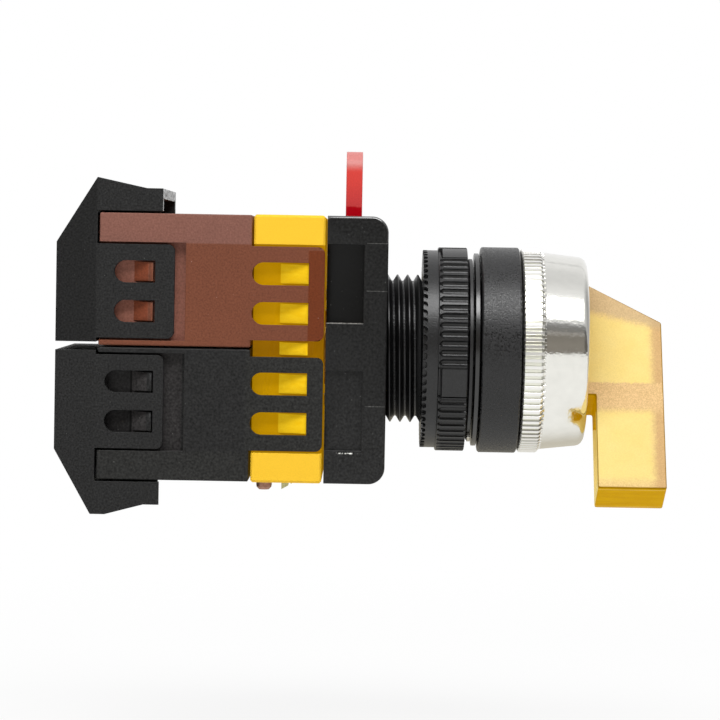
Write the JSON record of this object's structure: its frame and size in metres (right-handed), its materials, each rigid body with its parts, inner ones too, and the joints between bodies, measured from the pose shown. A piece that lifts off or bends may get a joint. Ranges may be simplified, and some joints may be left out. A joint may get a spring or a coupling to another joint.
{
  "type": "illuminated selector switch",
  "caption": "Panel selector switch with an amber lever handle in a chrome ring, a threaded barrel with nut, a lamp block and stacked contact blocks behind.",
  "frame": {"origin": "on the switch's axis, in the plane where the gasket meets the panel's front", "axes": "+X along the axis towards the handle, +Z towards the lock lever, +Y to the left seen from behind the panel with the lock lever up"},
  "size_m": [0.0888, 0.0306, 0.0535],
  "materials": {
    "black_plastic": "fine grain, satin",
    "dark_grey_plastic": "fine grain, satin",
    "brown_plastic": "satin",
    "yellow_plastic": "semi gloss",
    "amber_plastic": "translucent, semi gloss",
    "red_plastic": "semi gloss",
    "nylon": "natural",
    "rubber": "matt",
    "chrome": "bright",
    "steel": "zinc plated",
    "brass": "bare",
    "bronze": "bronze toned",
    "silver": "silver plated",
    "glass": "clear"
  },
  "bodies": {
    "switch_body": {"adaptor_housing": "dark_grey_plastic", "bezel": "chrome", "black_cap": "black_plastic", "black_clamp_1": "steel", "black_clamp_2": "steel", "black_contact_1": "brass", "black_contact_2": "brass", "black_housing": "dark_grey_plastic", "black_screw_1": "steel", "black_screw_2": "steel", "black_spring": "steel", "brown_cap": "black_plastic", "brown_clamp_1": "steel", "brown_clamp_2": "steel", "brown_contact_1": "brass", "brown_contact_2": "brass", "brown_housing": "brown_plastic", "brown_screw_1": "steel", "brown_screw_2": "steel", "brown_spring": "steel", "gasket": "rubber", "head_body": "black_plastic", "index_ring": "nylon", "lamp": "glass", "lamp_block": "yellow_plastic", "lamp_centre_contact": "brass", "lamp_screw_1": "bronze", "lamp_screw_2": "bronze", "lamp_socket": "brass", "lamp_terminal_1": "silver", "lamp_terminal_2": "silver", "locating_key": "steel", "lock_retainer": "steel", "panel_nut": "black_plastic", "spacer_ring": "black_plastic", "spindle_seal": "rubber", "wave_washer": "steel"},
    "knob": {"lever_handle": "amber_plastic", "cam_sleeve": "nylon"},
    "lock_lever": {"lock_lever_ring": "red_plastic"},
    "follower": {"cam_follower": "nylon"},
    "brown_carrier": {"brown_plunger": "nylon", "brown_bridge": "brass"},
    "black_carrier": {"black_plunger": "nylon", "black_bridge": "brass"}
  },
  "joints": [
    {"name": "knob_turn", "type": "hinge", "parent": "switch_body", "child": "knob", "pos_m": [0, 0, 0], "axis": [1, 0, 0], "range_deg": [0, 60]},
    {"name": "lock_lever_turn", "type": "hinge", "parent": "switch_body", "child": "lock_lever", "pos_m": [-0.018, 0, 0], "axis": [1, 0, 0], "range_deg": [-22, 0]},
    {"name": "follower_slide", "type": "slide", "parent": "switch_body", "child": "follower", "axis": [1, 0, 0], "range_m": [-0.0025, 0]},
    {"name": "brown_plunger_slide", "type": "slide", "parent": "switch_body", "child": "brown_carrier", "axis": [1, 0, 0], "range_m": [-0.0025, 0], "deforming": ["brown_spring"]},
    {"name": "black_plunger_slide", "type": "slide", "parent": "switch_body", "child": "black_carrier", "axis": [1, 0, 0], "range_m": [-0.0025, 0], "deforming": ["black_spring"]}
  ],
  "couplings": [
    {"joint": "follower_slide", "follows": "knob_turn", "m_per_rad": -0.002387},
    {"joint": "brown_plunger_slide", "follows": "knob_turn", "m_per_rad": -0.002387},
    {"joint": "black_plunger_slide", "follows": "knob_turn", "m_per_rad": -0.002387}
  ]
}
